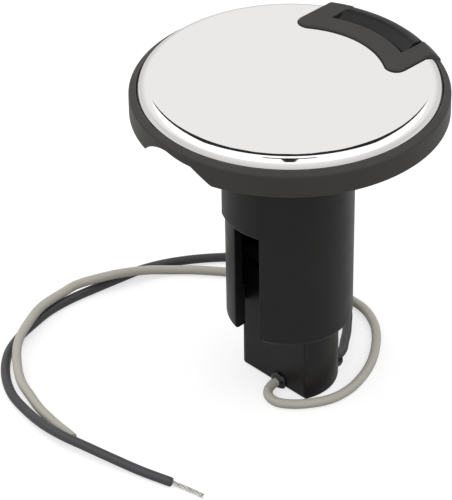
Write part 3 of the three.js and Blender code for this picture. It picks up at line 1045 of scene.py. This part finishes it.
@dataclass
class SocketBase:
    """The socket moulding: flange, hinge knuckle and barrel, with the gasket and the hinge pin."""

    finishes: Finishes
    hinge: HingeSizes
    body: Extent = field(default_factory=lambda: Extent.of("socket_base"))
    gasket: Extent = field(default_factory=lambda: Extent.of("deck_gasket"))
    gasket_space: float = 0.8
    flange_top: float = 3.2
    mouth_radius: float = 17.5
    mouth_top: float = 4.0
    barrel_radius: float = 17.3
    barrel_foot: float = 17.05
    foot_round: float = 1.4
    bore: float = 14.2
    foot_bore: float = 13.45
    ledge_radius: float = 11.5
    ledge_top: float = -49.0
    ledge: float = 2.0
    flat_y: float = -5.9
    screw_circle: float = 27.0
    screw_turns: tuple[float, ...] = (45, 135, 225, 315)
    screw_hole: float = 2.3
    pad_radius: float = 18.5
    pad_bottom: float = -30.3
    slot_half: float = 4.4
    slot_x: float = 0.6

    @property
    def rim(self) -> float:
        """The flange's radius."""
        return self.body.radius

    def knuckle(self) -> Solid:
        """The block at the rear that the lid turns on."""
        top, outer = self.body.high.z, self.body.high.y
        low = self.gasket_space
        section = Solid.turned("knuckle", [
            (28, low), (outer, low), (outer, 6.5), (38.8, 9.6), (38.0, top - 0.5),
            (36.8, top - 0.1), (35.5, top), (34.7, top - 0.3), (33.0, 9.5), (32.0, 8.9),
            (32.0, self.flange_top), (28, self.flange_top),
        ])
        return section.with_(Action.KEEP, behind(self.hinge.slot_half - self.hinge.gap))

    def pad(self) -> Solid:
        """The raised pad on the barrel over the side slot."""
        band = Solid.turned("pad", [
            (16.4, self.pad_bottom), (self.pad_radius - 0.7, self.pad_bottom),
            (self.pad_radius, self.pad_bottom + 0.8), (self.pad_radius, 1.5), (16.4, 1.5),
        ])
        corners = [(15, -34), (19.4, -30), (23, -15), (23, 5), (19.2, 17), (15, 27)]
        outline = [on_circle(radius, degrees) for radius, degrees in corners]
        return band.with_(Action.KEEP, Solid.prism("plan", outline, -40, 5))

    def countersink(self, degrees: float) -> Solid:
        """A countersunk screw hole in the flange, as a tool."""
        top = self.flange_top
        tool = Solid.turned("sink", [
            (0, -2), (self.screw_hole, -2), (self.screw_hole, top - 2),
            (self.screw_hole + 2.2, top + 0.2), (0, top + 0.2),
        ], FINE_SIDES)
        return tool.moved(*on_circle(self.screw_circle, degrees))

    def build_body(self) -> Solid:
        """The whole moulding."""
        low, foot = self.gasket_space, self.body.low.z
        body = Solid.turned("socket_moulding", eased([
            (self.bore, self.ledge_top - self.ledge), (self.foot_bore, self.ledge_top - self.ledge),
            (self.foot_bore, foot), (self.barrel_foot, foot, self.foot_round),
            (self.barrel_radius, low), (self.rim, low),
            (self.rim, self.flange_top), (self.mouth_radius + 0.6, self.flange_top),
            (self.mouth_radius, self.mouth_top), (self.bore, self.mouth_top),
        ], 7))
        shelf = ring(self.ledge_radius, self.bore + 0.5, self.ledge_top - self.ledge, self.ledge_top)
        shelf.with_(Action.REMOVE, Solid.block("flat", (-20, 20), (-20, self.flat_y), (-60, -40)))
        slot = Solid.block(
            "slot", (self.slot_x - self.slot_half, self.slot_x + self.slot_half), (-25, -8),
            (foot - 5, self.pad_bottom))
        holes = [self.countersink(degrees) for degrees in self.screw_turns]
        length, radius = 17.0, self.hinge.room
        reach = self.hinge.slot_half - self.hinge.gap + length / 2
        rooms = [self.hinge.rod(length, radius, side * reach, 96) for side in (-1, 1)]
        pin = self.hinge.rod(60, self.hinge.pin_radius + self.hinge.gap)
        body.with_(Action.ADD, self.pad(), self.knuckle(), shelf)
        body.with_(Action.REMOVE, slot, pin, *holes, *rooms)
        return body.softened(0.3, 3)

    def build_gasket(self) -> Solid:
        """The foam gasket between flange and deck."""
        low, high = self.gasket.low.z, self.gasket.high.z
        sheet = ring(19.2, self.gasket.radius, low, high)
        tongue = ring(30, self.gasket.high.y, low, high)
        tongue.with_(Action.KEEP, behind(self.hinge.slot_half - self.hinge.gap - 0.2))
        sheet.with_(Action.ADD, tongue)
        for degrees in self.screw_turns:
            hole = disc(self.screw_hole, -2, 2, FINE_SIDES)
            sheet.with_(Action.REMOVE, hole.moved(*on_circle(self.screw_circle, degrees)))
        sheet.object.name = "deck_foam"
        return sheet.softened(0.1, 2)

    def build_pin(self) -> Solid:
        """The hinge pin, its ends rounded."""
        half, radius = self.hinge.pin.radius, self.hinge.pin_radius
        pin = Solid.turned("pin_steel", eased([
            (0, -half), (radius, -half, 0.25), (radius, half, 0.25), (0, half),
        ]), 32)
        pin.object.data.transform(
            Matrix.Translation((0, self.hinge.y, self.hinge.z)) @ Matrix.Rotation(math.pi / 2, 4, "Y"))
        return pin

    def dress(self) -> None:
        """Puts the base's pieces in place."""
        placed(self.build_body().piece(), Body.BASE, "socket_base", "base_plastic", self.finishes.base)
        placed(self.build_gasket().piece(), Body.BASE, "deck_gasket", "gasket_foam", self.finishes.foam)
        placed(self.build_pin().piece(), Body.BASE, "hinge_pin", "polished_steel", self.finishes.steel)


# ---------------------------------------------------------------- contacts and housing


@dataclass
class ContactBlock:
    """The carrier across the barrel, its contacts and screws, and the housing under them."""

    finishes: Finishes
    carrier: Extent = field(default_factory=lambda: Extent.of("contact_carrier"))
    housing: Extent = field(default_factory=lambda: Extent.of("contact_housing"))
    gap: float = 0.3
    wall: float = 1.8
    floor: float = 1.1
    boss: float = 2.5
    boss_bottom: float = -66.0
    exit_hole: float = 2.1
    bead_radius: float = 2.8
    bead_bore: float = 1.4

    @property
    def flat_y(self) -> float:
        """Where the flat front face of the housing is."""
        return self.housing.low.y

    def front(self) -> Solid:
        """A block over everything behind the flat front face."""
        return Solid.block("front", (-20, 20), (self.flat_y, 20), (-100, 0))

    def screw_ys(self) -> list[float]:
        """The two screws' places along Y."""
        return [Extent.of(f"carrier_screw_{end}").middle.y for end in ("rear", "front")]

    def exit(self, tone: str) -> Vector:
        """Where a lead leaves the housing, in the middle of its bead of sealant."""
        bead = Extent.of(f"sealant_bead_{tone}")
        return Vector((bead.high.x - self.bead_radius, bead.middle.y, bead.high.z - self.bead_radius))

    def build_carrier(self) -> Solid:
        """The carrier, a D-shaped block with holes for the contacts and the screws."""
        block = disc(self.carrier.radius, self.carrier.low.z, self.carrier.high.z)
        block.with_(Action.KEEP, self.front())
        for tone in ("grey", "black"):
            sleeve = Extent.of(f"contact_sleeve_{tone}").middle
            block.with_(Action.REMOVE, disc(2.6, -60, -40, FINE_SIDES).moved(sleeve.x, sleeve.y))
        for y in self.screw_ys():
            block.with_(Action.REMOVE, disc(1.6, -60, -40, FINE_SIDES).moved(0, y))
        block.object.name = "carrier_block"
        return block.softened(0.25, 3)

    def build_housing(self) -> Solid:
        """The housing, open at the top, with its screw bosses and the leads' holes."""
        low, top, outer = self.housing.low.z, self.housing.high.z, self.housing.radius
        shell = disc(outer, low, top).with_(Action.KEEP, self.front()).softened(0.9, 5)
        hollow = disc(outer - self.wall, low + self.floor, top + 5)
        inside = Solid.block("inside", (-20, 20), (self.flat_y + self.wall, 20), (-100, 0))
        shell.with_(Action.REMOVE, hollow.with_(Action.KEEP, inside))
        for y in self.screw_ys():
            shell.with_(Action.ADD, disc(self.boss, self.boss_bottom, top, FINE_SIDES).moved(0, y))
        for y in self.screw_ys():
            shell.with_(Action.REMOVE, disc(1.6, -64, top + 5, FINE_SIDES).moved(0, y))
        for tone in ("grey", "black"):
            shell.with_(Action.REMOVE, Solid.rod("hole", "Y", tuple(self.exit(tone)), 10, self.exit_hole))
        shell.object.name = "housing_shell"
        return shell.softened(0.2, 3)

    def build_sleeve(self, tone: str) -> Solid:
        """A brass contact sleeve with its collar."""
        sleeve = Extent.of(f"contact_sleeve_{tone}")
        low, high, bore, radius, collar = sleeve.low.z, sleeve.high.z, 1.3, 2.3, -49.0
        solid = Solid.turned(f"sleeve_{tone}", eased([
            (bore, low), (radius, low, 0.15), (radius, collar - 1.2, 0.1), (radius + 0.9, collar - 1.2, 0.15),
            (radius + 0.9, collar, 0.15), (radius, collar, 0.1), (radius, high, 0.25), (bore, high, 0.3),
        ], 4), FINE_SIDES)
        return solid.moved(sleeve.middle.x, sleeve.middle.y)

    def build_crimp(self, tone: str) -> Solid:
        """A tinned crimp with a flared throat and a rolled waist."""
        box = Extent.of(f"crimp_{tone}")
        low, high = box.low.z, box.high.z
        solid = Solid.turned(f"crimp_tube_{tone}", eased([
            (0, low), (1.2, low, 0.2), (1.9, low + 1.0, 0.4), (1.9, low + 2.0, 0.3), (1.6, low + 2.6, 0.3),
            (1.6, low + 3.4, 0.3), (1.9, low + 4.0, 0.3), (1.9, high - 1.7, 0.3), (2.3, high - 1.1, 0.3),
            (2.3, high, 0.2), (0, high),
        ]), FINE_SIDES)
        return solid.moved(box.middle.x, box.middle.y)

    def build_screw(self, end: str) -> Solid:
        """A pan-head screw with a crossed recess and a threaded shank."""
        box = Extent.of(f"carrier_screw_{end}")
        low, high, shank = box.low.z, box.high.z, 1.3
        seat = high - 1.6
        profile: list[tuple[float, ...]] = [(0, low), (shank * 0.4, low), (shank - 0.25, low + 1.2)]
        pitch, z = 0.8, low + 1.2
        while z < seat - 3.0:
            profile += [(shank, z + pitch * 0.35), (shank - 0.28, z + pitch * 0.7)]
            z += pitch
        profile += [
            (shank, seat - 2.2), (shank, seat), (2.6, seat, 0.15), (2.6, seat + 1.0, 0.5),
            (1.8, high, 0.5), (0, high),
        ]
        screw = Solid.turned(f"screw_{end}", eased(profile, 4), FINE_SIDES)
        for x, y in ((1.5, 0.28), (0.28, 1.5)):
            screw.with_(Action.REMOVE, Solid.block("recess", (-x, x), (-y, y), (high - 1.0, high + 1)))
        return screw.moved(0, box.middle.y)

    def build_bead(self, tone: str, out: float) -> Solid:
        """A bead of sealant round a lead, a little lumpy, cut to the housing's wall."""
        centre = self.exit(tone)
        wall = self.flat_y if tone == "grey" else math.sqrt(self.housing.radius ** 2 - centre.x ** 2)
        bead = Solid.turned(f"bead_{tone}", eased([
            (self.bead_bore, -3), (self.bead_radius, -3), (self.bead_radius, 0.0), (2.5, 0.75, 0.5),
            (1.75, 1.25, 0.3), (self.bead_bore, 1.35),
        ]), FINE_SIDES)
        turn = Matrix.Rotation(-out * math.pi / 2, 4, "X")
        bead.object.data.transform(Matrix.Translation((centre.x, wall, centre.z)) @ turn)
        keep_out = disc(self.housing.radius + self.gap, -100, 0)
        block = Solid.block("block", (-20, 20), (self.flat_y - self.gap, 20), (-100, 0))
        below = Solid.block("below", (-30, 30), (-30, 30), (-100, self.housing.low.z))
        return bead.with_(Action.REMOVE, keep_out.with_(Action.KEEP, block), below)

    def dress(self) -> None:
        """Puts the contact block's pieces in place."""
        use = self.finishes
        placed(self.build_carrier().piece(), Body.BASE, "contact_carrier", "base_plastic", use.base)
        placed(self.build_housing().piece(), Body.BASE, "contact_housing", "base_plastic", use.base)
        for tone, out in (("grey", -1.0), ("black", 1.0)):
            rows = (
                (self.build_sleeve(tone), f"contact_sleeve_{tone}", "contact_brass", use.brass),
                (self.build_crimp(tone), f"crimp_{tone}", "tinned_copper", use.tin),
                (self.build_bead(tone, out), f"sealant_bead_{tone}", "sealant", use.sealant),
            )
            for solid, node, slot, material in rows:
                placed(solid.piece(), Body.BASE, node, slot, material)
        for end in ("rear", "front"):
            screw = self.build_screw(end).piece()
            placed(screw, Body.BASE, f"carrier_screw_{end}", "polished_steel", use.steel)


# ---------------------------------------------------------------- leads


def smooth_line(points: list[Vector], spacing: float) -> list[Vector]:
    """A smooth line through the points, as a centripetal Catmull-Rom curve.

    Args:
        points: the points that it passes through.
        spacing: about how far apart the new points are.

    Returns:
        The line's points.
    """
    ends = [points[0] * 2 - points[1], *points, points[-1] * 2 - points[-2]]
    line = []
    for p0, p1, p2, p3 in zip(ends, ends[1:], ends[2:], ends[3:]):
        t1 = (p1 - p0).length ** 0.5
        t2 = t1 + (p2 - p1).length ** 0.5
        t3 = t2 + (p3 - p2).length ** 0.5
        steps = max(2, round((p2 - p1).length / spacing))
        for k in range(steps):
            t = t1 + (t2 - t1) * k / steps
            a1 = p0 * ((t1 - t) / t1) + p1 * (t / t1)
            a2 = p1 * ((t2 - t) / (t2 - t1)) + p2 * ((t - t1) / (t2 - t1))
            a3 = p2 * ((t3 - t) / (t3 - t2)) + p3 * ((t - t2) / (t3 - t2))
            b1 = a1 * ((t2 - t) / t2) + a2 * (t / t2)
            b2 = a2 * ((t3 - t) / (t3 - t1)) + a3 * ((t - t1) / (t3 - t1))
            line.append(b1 * ((t2 - t) / (t2 - t1)) + b2 * ((t - t1) / (t2 - t1)))
    line.append(points[-1].copy())
    return line


def length_of(line: list[Vector]) -> float:
    """A line's length."""
    return sum((b - a).length for a, b in zip(line, line[1:]))


def frames_along(line: list[Vector]) -> list[tuple[Vector, Vector, Vector]]:
    """For each point, its direction and two directions square to it that don't twist.

    Args:
        line: the points.

    Returns:
        (along, across, up) for each point.
    """
    along = [(b - a).normalized() for a, b in zip(line[:1] + line[:-1], line[1:] + line[-1:])]
    across = along[0].orthogonal().normalized()
    frames = []
    for direction in along:
        across = (across - direction * across.dot(direction)).normalized()
        frames.append((direction, across, direction.cross(across)))
    return frames


def tube(shape: bmesh.types.BMesh, line: list[Vector], radii: list[float], sides: int) -> None:
    """Adds a closed tube to a mesh.

    Args:
        shape: the mesh.
        line: the tube's centre line.
        radii: the tube's radius at each point of the line.
        sides: how many sides it has.
    """
    rings = []
    for point, radius, (_, across, up) in zip(line, radii, frames_along(line)):
        turn = [2 * math.pi * k / sides for k in range(sides)]
        spokes = [across * math.cos(a) + up * math.sin(a) for a in turn]
        rings.append([shape.verts.new(point + spoke * radius) for spoke in spokes])
    for near, far in zip(rings, rings[1:]):
        for k in range(sides):
            n = (k + 1) % sides
            shape.faces.new([near[k], near[n], far[n], far[k]])
    shape.faces.new(list(reversed(rings[0])))
    shape.faces.new(rings[-1])


@dataclass
class Lead:
    """One insulated lead, from its terminal to its bared end."""

    tone: str
    route: list[Point3]
    bared: list[Point3]
    insulation: bpy.types.Material
    strand: bpy.types.Material
    seed: int
    strands: int = 14
    radius: float = 1.3
    bundle: float = 0.62
    wire: float = 0.13
    lay: float = 9.0

    def line(self) -> list[Vector]:
        """The lead's centre line, in millimetres."""
        return smooth_line([Vector(p) for p in self.route], 0.5)

    def build_insulation(self) -> Solid:
        """The insulation, with the ring that a stripping tool leaves at its end."""
        line = self.line()
        tail = length_of(line)
        radii, gone = [], 0.0
        for k, point in enumerate(line):
            gone += (point - line[k - 1]).length if k else 0.0
            left = tail - gone
            near_end = max(0.0, 1 - left / 0.5)
            start = max(0.0, 1 - gone / 0.5)
            radii.append(self.radius * (1 - 0.06 * near_end ** 2 - 0.06 * start ** 2))
        shape = bmesh.new()
        tube(shape, line, radii, 28)
        return Solid(f"lead_{self.tone}", shape)

    def build_strands(self) -> Solid:
        """The bared strands, twisted together and splaying a little at the tip."""
        draw = random.Random(self.seed)
        centre = smooth_line([Vector(p) for p in self.bared], 0.35)
        total = length_of(centre)
        frames = frames_along(centre)
        shape = bmesh.new()
        for number in range(self.strands):
            inner = number < 4
            reach = self.bundle * (0.34 if inner else 0.82)
            start = 2 * math.pi * number / (4 if inner else self.strands - 4) + draw.uniform(-0.15, 0.15)
            splay, stop = draw.uniform(0.0, 0.18), total - draw.uniform(0.0, 1.1)
            line, gone = [], 0.0
            for k, (point, (_, across, up)) in enumerate(zip(centre, frames)):
                gone += (point - centre[k - 1]).length if k else 0.0
                if gone > stop:
                    break
                angle = start + 2 * math.pi * gone / self.lay
                tip = max(0.0, gone / total - 0.7) / 0.3
                off = min(reach * (1 + splay * tip), self.bundle)
                line.append(point + (across * math.cos(angle) + up * math.sin(angle)) * off)
            radii = [self.wire] * (len(line) - 1) + [self.wire * 0.75]
            tube(shape, line, radii, 8)
        return Solid(f"strands_{self.tone}", shape)

    def dress(self, exit_point: Vector) -> None:
        """Args:
            exit_point: where it leaves the housing, in millimetres; not used.
        """
        lead = placed(
            self.build_insulation().piece(60), Body.BASE, f"{self.tone}_lead",
            f"{self.tone}_insulation", self.insulation)
        strands = placed(
            self.build_strands().piece(60), Body.BASE, f"{self.tone}_lead_strands",
            "tinned_copper", self.strand)
        line = [p * MM for p in self.line()]
        length_of(line)
        log.info("%s lead is %.1f mm long", self.tone, length_of(line) / MM)


GREY_ROUTE: list[Point3] = [
    (-6.4, 2.5, -63), (-6, 2.9, -69), (-4.8, 3.2, -74.4), (-2.8, 2.8, -79), (-0.4, 1.4, -81.8),
    (1.3, -1.6, -83.3), (2, -5.9, -84), (1.9, -8.4, -84.1), (2.8, -11, -84.2), (5, -12.8, -84.2),
    (8.2, -13, -84.2), (12, -10.5, -84.2), (15.5, -6, -84.2), (17.7, -0.9, -84.2),
    (18, 5.3, -84.2), (16.6, 11.5, -84.2), (14.1, 17.4, -84.2), (10.7, 22.7, -84.2),
    (6.1, 28, -84.2), (1.6, 31.6, -84.2), (-4.8, 34.4, -84.2), (-12.5, 34.7, -84.2),
    (-21.6, 33.2, -84.2), (-30.1, 29.4, -84.2), (-38.1, 24.5, -84.2), (-45.2, 19.2, -84.2),
    (-51.5, 14, -84.1), (-57, 8.4, -84), (-60.2, 2.6, -82.8), (-62.1, -4.2, -81.2),
    (-64.8, -10.8, -80.9), (-68.2, -17.4, -81.9), (-68.2, -22.2, -82), (-66.3, -32.2, -81),
    (-62.7, -40.4, -80.8), (-58.6, -47.3, -81), (-53.7, -52.2, -81.7), (-46.3, -57.1, -82.9),
    (-40.8, -58.6, -84.1), (-34.9, -60.4, -84.2), (-30.4, -61.2, -84.2), (-26.2, -61.8, -84.2),
    (-22.2, -62.1, -84.2), (-19.1, -62.4, -84.2),
]
BLACK_ROUTE: list[Point3] = [
    (6.4, 2.5, -63), (6.4, 2.3, -69.5), (6.4, 2.2, -75.4), (6.4, 3, -79.6), (6, 5.6, -82.4),
    (5.5, 8.8, -83.7), (5.4, 12, -84), (5.1, 14.4, -84.1), (4.1, 16.8, -84.2), (2, 19.6, -84.2),
    (-0.6, 23.1, -84.2), (-2.9, 25.7, -84), (-5.8, 28.9, -83.5), (-11.2, 32.9, -81.6),
    (-17.2, 35.6, -81.2), (-24.6, 37, -83), (-32, 36, -84.1), (-39.6, 33, -84.2),
    (-46.2, 28.5, -84.2), (-52, 22.5, -84.2), (-56.9, 16, -84.2), (-60.6, 9.5, -84.2),
    (-63.1, 2.8, -84.2), (-64.4, -4.8, -84.2), (-65.6, -12.8, -84.2), (-66.6, -20.8, -84.2),
    (-66.6, -28.7, -84.2), (-65.2, -36.2, -84.2), (-63.2, -43.3, -84.2), (-59.6, -50.4, -84.2),
    (-53, -57, -84.2), (-45.1, -61.6, -84.1), (-37.3, -63.6, -84), (-28.7, -65, -83.3),
    (-20.5, -65.1, -82.6), (-11.9, -63.6, -82.6), (-4.1, -61.5, -83.3), (3.9, -59.2, -84),
    (12.9, -56.5, -84.2),
]
GREY_STRANDS: list[Point3] = [(-18.6, -62.3, -84.5), (-15.9, -61.4, -84.8), (-12.5, -60.9, -84.8)]
BLACK_STRANDS: list[Point3] = [(13.3, -56.1, -84.5), (17.9, -54.8, -84.7), (22.8, -53.9, -84.8)]


# ---------------------------------------------------------------- studio


@dataclass
class Studio:
    """The plain floor, the soft light and the camera."""

    floor_z: float
    camera_place: Point3 = (0.462, -0.462, 0.414)
    camera_forward: Point3 = (-0.59357, 0.56351, -0.57458)
    camera_up: Point3 = (-0.40689, 0.40586, 0.81837)
    lens: float = 215.5
    shift: float = 0.0016
    floor_half: float = 3.0
    floor_seen: float = 0.5
    floor_glow: float = 0.62
    strength: float = 1.15
    surround: tuple[Point2, ...] = (
        (-1.0, 0.3), (-0.1, 0.5), (0.0, 0.58), (0.15, 0.62), (0.3, 0.7), (0.45, 0.79), (0.57, 0.8),
        (0.63, 1.1), (1.0, 1.1),
    )
    floor_dark: float = 0.3
    floor_sheen: float = 0.3
    flags: tuple[tuple[str, float, float, float], ...] = (
        ("far_flag", 0.5, 1.62, 0.5), ("near_flag", -0.12, 0.06, 0.2), ("post_flag", -0.8, -0.12, 0.07),
    )
    flag_height: float = 1.2
    lamp_place: Point3 = (0.1, -0.15, 1.3)
    lamp_size: Point2 = (1.1, 1.1)
    lamp_watts: float = 3.0
    away: Point2 = (-0.7071, 0.7071)

    def place_camera(self) -> None:
        """Sets the camera up."""
        data = bpy.data.cameras.new("camera")
        data.lens = self.lens
        data.sensor_width = 36.0
        data.clip_end = 20.0
        data.shift_y = self.shift
        camera = bpy.data.objects.new("camera", data)
        bpy.context.scene.collection.objects.link(camera)
        forward = Vector(self.camera_forward).normalized()
        right = forward.cross(Vector(self.camera_up)).normalized()
        up = right.cross(forward)
        turn = Matrix((right, up, -forward)).transposed().to_4x4()
        camera.matrix_world = Matrix.Translation(self.camera_place) @ turn
        bpy.context.scene.camera = camera

    def lay_sheet(self, name: str, corners: list[Vector], material: bpy.types.Material) -> None:
        """Adds a flat sheet that isn't part of the object.

        Args:
            name: its name.
            corners: its corners, in order.
            material: its material.
        """
        shape = bmesh.new()
        shape.faces.new([shape.verts.new(corner) for corner in corners])
        mesh = bpy.data.meshes.new(name)
        shape.to_mesh(mesh)
        shape.free()
        sheet = bpy.data.objects.new(name, mesh)
        bpy.context.scene.collection.objects.link(sheet)
        mesh.materials.append(material)

    def lay_floor(self) -> None:
        """Lays the floor, a wide pale sheet."""
        box = Paintbox("floor_paper", (self.floor_dark,) * 3, 0.8)
        box.set("Specular IOR Level", 0.1)
        path = add_node(box.tree, "ShaderNodeLightPath").outputs
        either = {0: path["Is Camera Ray"], 1: path["Is Glossy Ray"]}
        seen = add_node(box.tree, "ShaderNodeMath", either, operation="MAXIMUM").outputs[0]
        dim = {0: path["Is Glossy Ray"], 1: self.floor_sheen, 2: path["Is Camera Ray"]}
        share = add_node(box.tree, "ShaderNodeMath", dim, operation="MULTIPLY_ADD").outputs[0]
        box.feed("Base Color", box.mix(seen, (self.floor_dark,) * 3, (self.floor_seen,) * 3))
        box.set("Emission Color", (1.0, 1.0, 1.0, 1.0))
        glow = add_node(box.tree, "ShaderNodeMath", {0: share, 1: self.floor_glow}, operation="MULTIPLY")
        box.feed("Emission Strength", glow.outputs[0])
        half = self.floor_half
        corners = [(-half, -half), (half, -half), (half, half), (-half, half)]
        self.lay_sheet("floor", [Vector((x, y, self.floor_z)) for x, y in corners], box.material)

    def hang_flag(self, name: str, near: float, far: float, half: float) -> None:
        """Hangs a black flag flat overhead, which the steel's rolled edge shows as a dark line.

        Args:
            name: its name.
            near: how far beyond the part its near edge is, on the side away from the camera.
            far: how far its far edge is.
            half: half its width.
        """
        ahead = Vector((*self.away, 0.0))
        side = Vector((self.away[1], -self.away[0], 0.0))
        up = Vector((0.0, 0.0, self.flag_height))
        corners = [
            up + ahead * reach + side * across
            for reach, across in ((near, -half), (near, half), (far, half), (far, -half))
        ]
        cloth = Paintbox(f"{name}_cloth", (0.03, 0.03, 0.03), 0.9).material
        self.lay_sheet(name, corners, cloth)

    def light(self, name: str, place: Point3, aim: Point3, size: Point2, power: float) -> None:
        """Hangs one soft light.

        Args:
            name: its name.
            place: where it hangs.
            aim: what it points at.
            size: its width and height.
            power: its power in watts.
        """
        data = bpy.data.lights.new(name, "AREA")
        data.shape = "RECTANGLE"
        data.size, data.size_y = size
        data.energy = power
        lamp = bpy.data.objects.new(name, data)
        lamp.visible_glossy = False
        bpy.context.scene.collection.objects.link(lamp)
        towards = Vector(aim) - Vector(place)
        turn = towards.to_track_quat("-Z", "Y").to_matrix().to_4x4()
        lamp.matrix_world = Matrix.Translation(place) @ turn

    def fill_air(self) -> None:
        """Lights the part from all round with a pale surround."""
        world = bpy.data.worlds.new("surround")
        bpy.context.scene.world = world
        world.use_nodes = True
        tree = world.node_tree
        tree.nodes.clear()
        place = add_node(tree, "ShaderNodeTexCoord").outputs["Generated"]
        height = add_node(tree, "ShaderNodeSeparateXYZ", {"Vector": place}).outputs["Z"]
        up = add_node(tree, "ShaderNodeMapRange", {"Value": height, "From Min": -1.0}).outputs["Result"]
        ramp = add_node(tree, "ShaderNodeValToRGB", {"Fac": up})
        stops = ramp.color_ramp.elements
        while len(stops) < len(self.surround):
            stops.new(1.0)
        for stop, (level, bright) in zip(stops, self.surround):
            stop.position = (level + 1) / 2
            stop.color = (bright, bright, bright, 1.0)
        levels = {0: ramp.outputs["Color"], 1: self.strength}
        tone = add_node(tree, "ShaderNodeMath", levels, operation="MULTIPLY").outputs[0]
        seen = add_node(tree, "ShaderNodeLightPath").outputs["Is Camera Ray"]
        lit = add_node(tree, "ShaderNodeBackground", {"Strength": tone})
        plain = add_node(tree, "ShaderNodeBackground", {"Strength": 1.0})
        lit.inputs["Color"].default_value = (1.0, 0.99, 0.985, 1.0)
        plain.inputs["Color"].default_value = (1.0, 1.0, 1.0, 1.0)
        both = add_node(tree, "ShaderNodeMixShader", {0: seen, 1: lit.outputs[0], 2: plain.outputs[0]})
        output = tree.nodes.new("ShaderNodeOutputWorld")
        tree.links.new(both.outputs[0], output.inputs["Surface"])

    def set_up(self) -> None:
        """Sets up floor and light."""
        self.lay_floor()
        self.fill_air()
        for name, near, far, half in self.flags:
            self.hang_flag(name, near, far, half)
        self.light("overhead", self.lamp_place, (0, 0, 0), self.lamp_size, self.lamp_watts)
        bpy.context.scene.view_settings.view_transform = "Standard"


# ---------------------------------------------------------------- main


def main() -> None:
    """Builds the part's looks in order."""
    logging.basicConfig(level=logging.INFO, format="%(name)s: %(message)s")
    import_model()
    studio = Studio(floor_z=Extent.of("contact_housing").low.z * MM)
    studio.place_camera()
    finishes = Finishes.mixed()
    block = ContactBlock(finishes)
    leads = (
        Lead("grey", GREY_ROUTE, GREY_STRANDS, finishes.grey, finishes.tin, 5),
        Lead("black", BLACK_ROUTE, BLACK_STRANDS, finishes.black, finishes.tin, 9),
    )
    for lead in leads:
        lead.dress(block.exit(lead.tone))
    hinge = HingeSizes(Extent.of("hinge_pin"))
    Lid(finishes, hinge).dress()
    SocketBase(finishes, hinge).dress()
    block.dress()
    studio.set_up()


if __name__ == "__main__":
    main()
